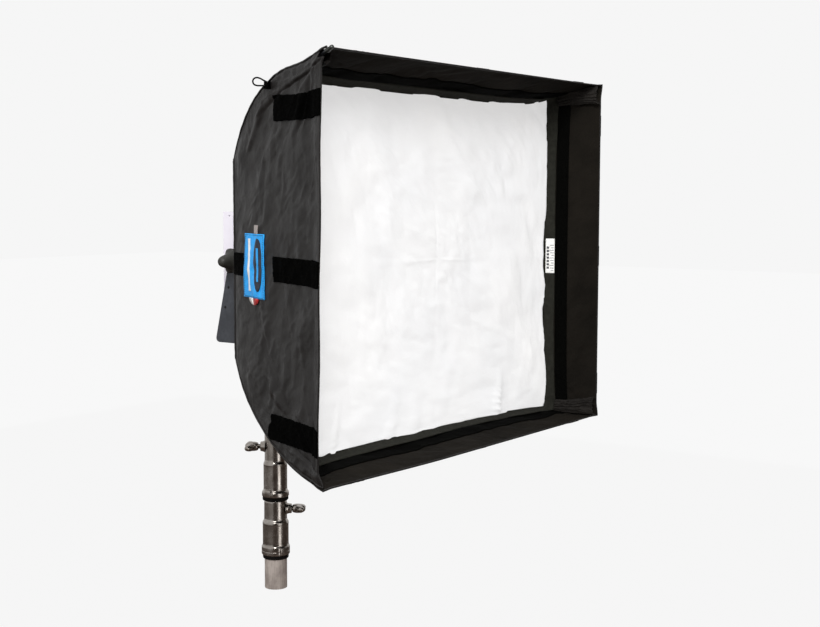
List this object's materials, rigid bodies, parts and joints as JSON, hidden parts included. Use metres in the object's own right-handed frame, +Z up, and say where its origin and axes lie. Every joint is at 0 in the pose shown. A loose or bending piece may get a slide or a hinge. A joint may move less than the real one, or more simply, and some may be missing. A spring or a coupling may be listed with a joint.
{
  "type": "studio softbox",
  "caption": "Rectangular fabric softbox with a recessed white front screen on a small LED lamp head, held in a tilting yoke on the clamped top section of a light stand",
  "frame": {"origin": "centre of the lower end of the column tube", "axes": "+Z up along the stand, the white screen faces -Y, +X is to the right of someone who looks at the screen from behind the lamp's front, along +Y"},
  "size_m": [0.818, 0.5079, 0.9285],
  "materials": {
    "cloth": "matt woven nylon, silver inside",
    "touch_tape": "fuzzy loop tape",
    "screen": "white translucent cloth",
    "border": "grey-green woven tape",
    "label_blue": "woven label",
    "label_white": "printed care label",
    "cord": "braided cord",
    "rod": "dark spring steel",
    "steel": "bright steel",
    "ring": "machined",
    "plastic": "fine texture",
    "emitter": "yellow phosphor on board",
    "lens": "clear",
    "white_paint": "satin",
    "heatsink": "black anodised",
    "yoke_paint": "satin slate grey",
    "knob": "moulded",
    "casting": "worn bright casting",
    "tube": "drawn tube, scuffed",
    "rubber": "matt"
  },
  "bodies": {
    "column": {"column_tube": "tube", "column_collar": "casting", "collar_ring": "rubber"},
    "collar_lock": {"collar_t_screw": "casting"},
    "riser": {"riser_tube": "tube", "receiver": "casting", "receiver_ring": "rubber"},
    "receiver_lock": {"receiver_t_screw": "casting"},
    "yoke": {"junior_pin": "steel", "yoke_frame": "yoke_paint", "yoke_nut": "steel", "left_pivot_washer": "rubber", "right_pivot_washer": "rubber"},
    "head": {"left_panel": "cloth", "right_panel": "cloth", "top_panel": "cloth", "bottom_panel": "cloth", "left_tabs": "touch_tape", "right_tabs": "touch_tape", "top_tabs": "touch_tape", "bottom_tabs": "touch_tape", "left_lip_tape": "touch_tape", "right_lip_tape": "touch_tape", "top_lip_tape": "touch_tape", "bottom_lip_tape": "touch_tape", "rear_panel": "cloth", "rear_cuff": "cloth", "top_left_rod": "rod", "top_right_rod": "rod", "bottom_left_rod": "rod", "bottom_right_rod": "rod", "top_left_rod_cap": "steel", "top_right_rod_cap": "steel", "bottom_left_rod_cap": "steel", "bottom_right_rod_cap": "steel", "speed_ring": "ring", "inner_baffle": "screen", "side_label": "label_blue", "rear_strap": "touch_tape", "loop_patch": "cloth", "pull_loop": "cord", "head_housing": "plastic", "led_board": "emitter", "front_lens": "lens", "left_side_plate": "white_paint", "right_side_plate": "white_paint", "heatsink": "heatsink", "control_box": "plastic", "display_window": "lens", "power_inlet": "plastic", "left_pivot_stud": "steel", "right_pivot_stud": "steel"},
    "left_knob": {"left_tilt_knob": "knob"},
    "right_knob": {"right_tilt_knob": "knob"},
    "screen": {"front_screen": "screen", "screen_border": "border", "screen_label": "label_white"},
    "dimmer": {"dimmer_knob": "plastic"},
    "rocker": {"power_rocker": "plastic"}
  },
  "joints": [
    {"name": "riser_slide", "type": "slide", "parent": "column", "child": "riser", "axis": [0, 0, 1], "range_m": [0, 0.09]},
    {"name": "collar_t_turn", "type": "hinge", "parent": "column", "child": "collar_lock", "pos_m": [0, 0, 0.148], "axis": [0.5779, -0.8161, 0], "range_deg": [0, 180]},
    {"name": "receiver_t_turn", "type": "hinge", "parent": "riser", "child": "receiver_lock", "pos_m": [0, 0, 0.264], "axis": [-0.5779, 0.8161, 0], "range_deg": [0, 180]},
    {"name": "yoke_pan", "type": "hinge", "parent": "riser", "child": "yoke", "pos_m": [0, 0, 0.3], "axis": [0, 0, 1], "continuous": true},
    {"name": "head_tilt", "type": "hinge", "parent": "yoke", "child": "head", "pos_m": [0, -0.034, 0.612], "axis": [1, 0, 0], "range_deg": [-90, 30]},
    {"name": "left_knob_turn", "type": "hinge", "parent": "yoke", "child": "left_knob", "pos_m": [-0.15, -0.034, 0.612], "axis": [-1, 0, 0], "range_deg": [0, 300]},
    {"name": "right_knob_turn", "type": "hinge", "parent": "yoke", "child": "right_knob", "pos_m": [0.15, -0.034, 0.612], "axis": [1, 0, 0], "range_deg": [0, 300]},
    {"name": "screen_off", "type": "slide", "parent": "head", "child": "screen", "axis": [0, -1, 0], "range_m": [0, 0.12]},
    {"name": "dimmer_turn", "type": "hinge", "parent": "head", "child": "dimmer", "pos_m": [-0.078, 0.008, 0.573], "axis": [0, 1, 0], "range_deg": [0, 300]},
    {"name": "rocker_press", "type": "hinge", "parent": "head", "child": "rocker", "pos_m": [0.032, 0.0075, 0.573], "axis": [0, 0, 1], "range_deg": [-8, 8]}
  ]
}
